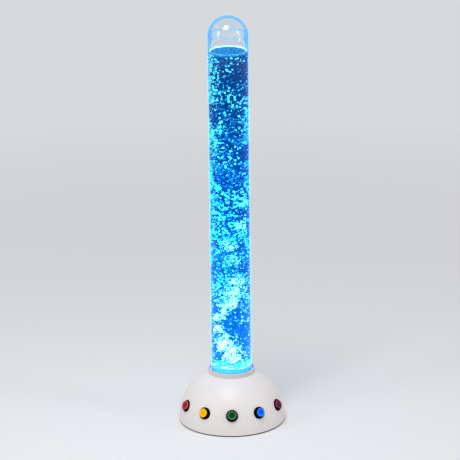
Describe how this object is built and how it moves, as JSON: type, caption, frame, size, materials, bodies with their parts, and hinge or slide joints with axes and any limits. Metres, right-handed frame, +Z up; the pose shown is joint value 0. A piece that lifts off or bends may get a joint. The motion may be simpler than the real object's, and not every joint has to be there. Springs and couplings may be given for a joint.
{
  "type": "bubble tube floor lamp",
  "caption": "Free-standing bubble lamp: a clear water tube with a lift-off domed cap, on a white hemispherical base with coloured push buttons and an air pump inside.",
  "frame": {"origin": "on the floor, at the centre of the base's footprint, on the tube's axis", "axes": "+Z up along the tube; the row of buttons faces -Y; +X to the viewer's right; the power inlet is at the back, +Y"},
  "size_m": [0.315, 0.3171, 1.245],
  "materials": {
    "clear_acrylic": "gloss",
    "lit_acrylic": "gloss",
    "water": "gloss",
    "shell_white": "satin",
    "collar_white": "satin",
    "socket_white": "matte",
    "black_plastic": "gloss",
    "black_moulding": "matte",
    "black_rubber": "matte",
    "grey_rubber": "matte",
    "button_red": "gloss",
    "button_yellow": "gloss",
    "button_green": "gloss",
    "button_blue": "gloss",
    "button_purple": "gloss",
    "screw_steel": "satin",
    "nickel": "satin",
    "circuit_green": "satin",
    "circuit_white": "satin",
    "component_black": "matte",
    "led_lens": "gloss",
    "pump_grey": "matte",
    "pump_steel": "satin",
    "copper": "satin",
    "magnet_grey": "matte",
    "stone": "matte",
    "silicone": "satin"
  },
  "bodies": {
    "lamp": {"air_hose_lower": "silicone", "air_hose_upper": "silicone", "air_nozzle": "nickel", "air_stone": "stone", "base_plate": "black_moulding", "base_shell": "shell_white", "bellows": "black_rubber", "button_bezels": "black_plastic", "button_nuts": "black_moulding", "button_switches": "component_black", "check_valve": "socket_white", "collar_ring": "collar_white", "control_board": "circuit_green", "control_parts": "component_black", "control_screws": "screw_steel", "dc_inlet": "black_plastic", "drain_plug": "black_rubber", "foot_ring": "black_rubber", "inlet_nut": "nickel", "led_board": "circuit_white", "led_board_screws": "screw_steel", "led_chips": "led_lens", "lever_pin": "screw_steel", "nozzle_nut": "nickel", "plate_screws": "screw_steel", "pump_coil": "copper", "pump_core": "pump_steel", "pump_cover": "pump_grey", "pump_feet": "black_rubber", "pump_screws": "screw_steel", "pump_tray": "pump_grey", "socket_screws": "screw_steel", "tube": "clear_acrylic", "tube_end_disc": "lit_acrylic", "tube_gasket": "grey_rubber", "tube_socket": "socket_white", "valve_box": "black_moulding", "water_column": "water"},
    "dome": {"dome_cap": "clear_acrylic"},
    "lever": {"pump_lever": "pump_steel", "lever_magnet": "magnet_grey"},
    "red_button": {"button_red": "button_red"},
    "yellow_button": {"button_yellow": "button_yellow"},
    "green_button": {"button_green": "button_green"},
    "blue_button": {"button_blue": "button_blue"},
    "purple_button": {"button_purple": "button_purple"}
  },
  "joints": [
    {"name": "dome_cap_lift", "type": "slide", "parent": "lamp", "child": "dome", "axis": [0, 0, 1], "range_m": [0, 0.08]},
    {"name": "red_button_press", "type": "slide", "parent": "lamp", "child": "red_button", "axis": [0.8562, 0.3812, -0.3486], "range_m": [0, 0.004], "stiffness_N_per_m": 300, "springref_m": -0.002},
    {"name": "yellow_button_press", "type": "slide", "parent": "lamp", "child": "yellow_button", "axis": [0.5105, 0.7861, -0.3486], "range_m": [0, 0.004], "stiffness_N_per_m": 300, "springref_m": -0.002},
    {"name": "green_button_press", "type": "slide", "parent": "lamp", "child": "green_button", "axis": [0, 0.9373, -0.3486], "range_m": [0, 0.004], "stiffness_N_per_m": 300, "springref_m": -0.002},
    {"name": "blue_button_press", "type": "slide", "parent": "lamp", "child": "blue_button", "axis": [-0.5105, 0.7861, -0.3486], "range_m": [0, 0.004], "stiffness_N_per_m": 300, "springref_m": -0.002},
    {"name": "purple_button_press", "type": "slide", "parent": "lamp", "child": "purple_button", "axis": [-0.8562, 0.3812, -0.3486], "range_m": [0, 0.004], "stiffness_N_per_m": 300, "springref_m": -0.002},
    {"name": "pump_lever_swing", "type": "hinge", "parent": "lamp", "child": "lever", "pos_m": [-0.038, 0.06, 0.038], "axis": [0, 1, 0], "range_deg": [-2, 2], "stiffness_Nm_per_rad": 3, "deforming": ["bellows"]}
  ]
}
